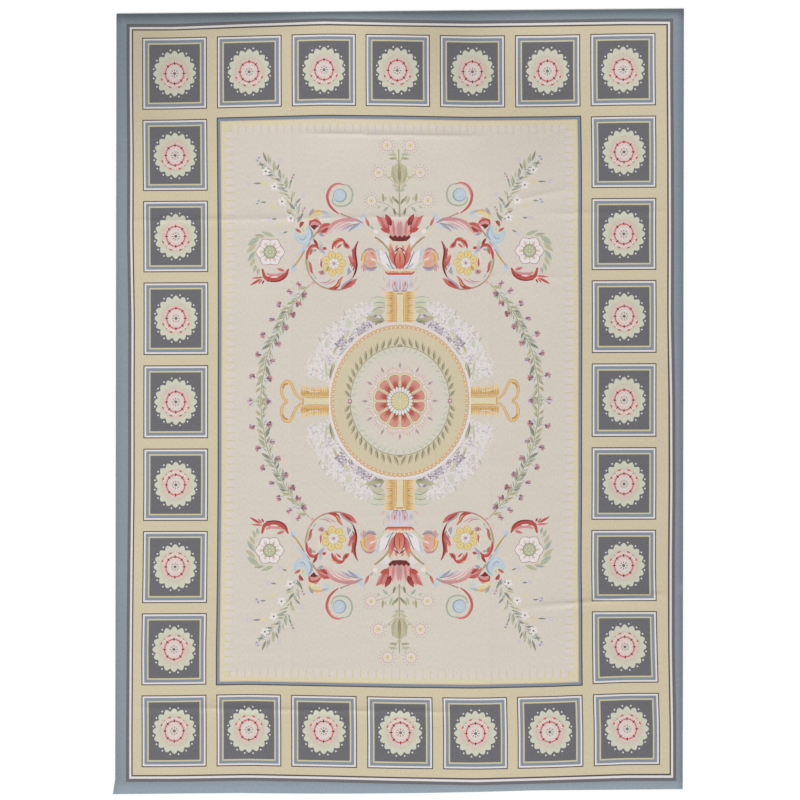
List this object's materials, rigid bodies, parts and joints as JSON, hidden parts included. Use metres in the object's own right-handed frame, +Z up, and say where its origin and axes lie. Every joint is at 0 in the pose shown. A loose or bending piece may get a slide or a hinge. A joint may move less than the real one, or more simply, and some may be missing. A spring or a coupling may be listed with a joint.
{
  "type": "flat-woven tapestry rug",
  "caption": "Large oblong flat-woven wool rug with a round floral medallion, leafy scrolls and a border of framed rosettes, lying flat on the floor.",
  "frame": {"origin": "middle of the footprint, on the floor that the underside rests on", "axes": "+Y along the length, towards the top of the picture; +X across the width, to the picture's right; +Z up, out of the face"},
  "size_m": [2.4544, 3.3756, 0.0085],
  "materials": {
    "wool_weave": "matt, finely ribbed wool tapestry weave"
  },
  "bodies": {
    "root": {"rug": "wool_weave"}
  },
  "joints": []
}
